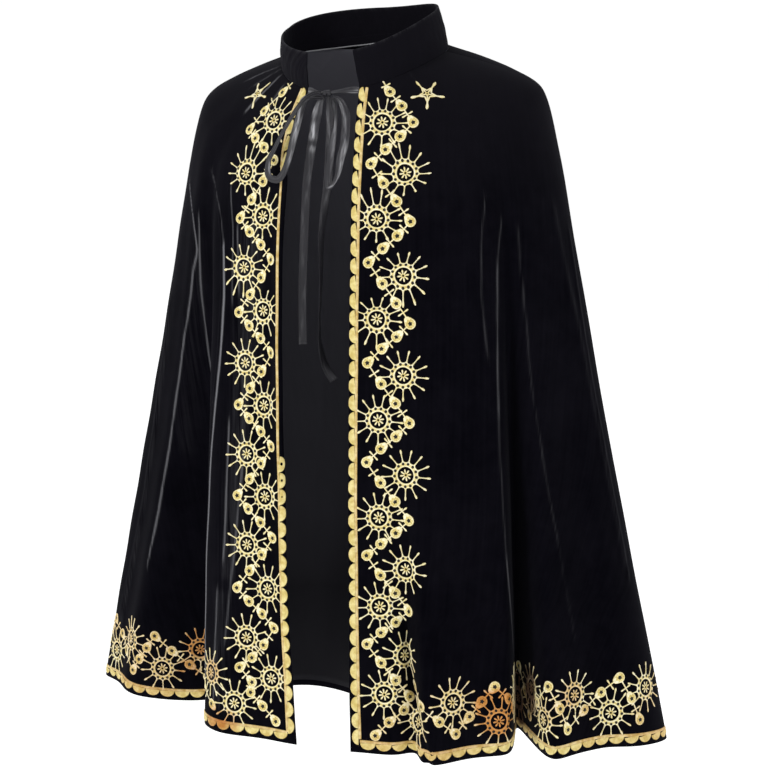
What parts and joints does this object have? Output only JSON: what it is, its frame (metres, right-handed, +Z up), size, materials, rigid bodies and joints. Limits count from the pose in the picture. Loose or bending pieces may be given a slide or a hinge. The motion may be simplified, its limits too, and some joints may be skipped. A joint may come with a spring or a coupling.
{
  "type": "cape",
  "caption": "Hip-length velvet cape hanging as worn, with a stand collar, gold embroidered bands down the open front and round the hem, a satin back lining and a ribbon tie.",
  "frame": {"origin": "middle of the neck seam between the two shoulder seams, where the wearer's neck and shoulders carry the cape", "axes": "+Z up, the open front faces -Y, +X is the wearer's left"},
  "size_m": [0.7224, 0.345, 0.889],
  "materials": {
    "velvet": "black cut-pile velvet, soft sheen on the folds, with gold embroidery",
    "satin_lining": "charcoal satin lining, smooth, low gloss",
    "satin_ribbon": "dark grey satin ribbon with soft bright highlights"
  },
  "bodies": {
    "root": {"front_left": "velvet", "front_right": "velvet", "back": "velvet", "collar": "velvet", "back_lining": "satin_lining", "tie_band": "satin_ribbon", "bow_loop_right": "satin_ribbon", "bow_loop_left": "satin_ribbon", "tie_tail_short": "satin_ribbon", "tie_tail_long": "satin_ribbon"}
  },
  "joints": []
}
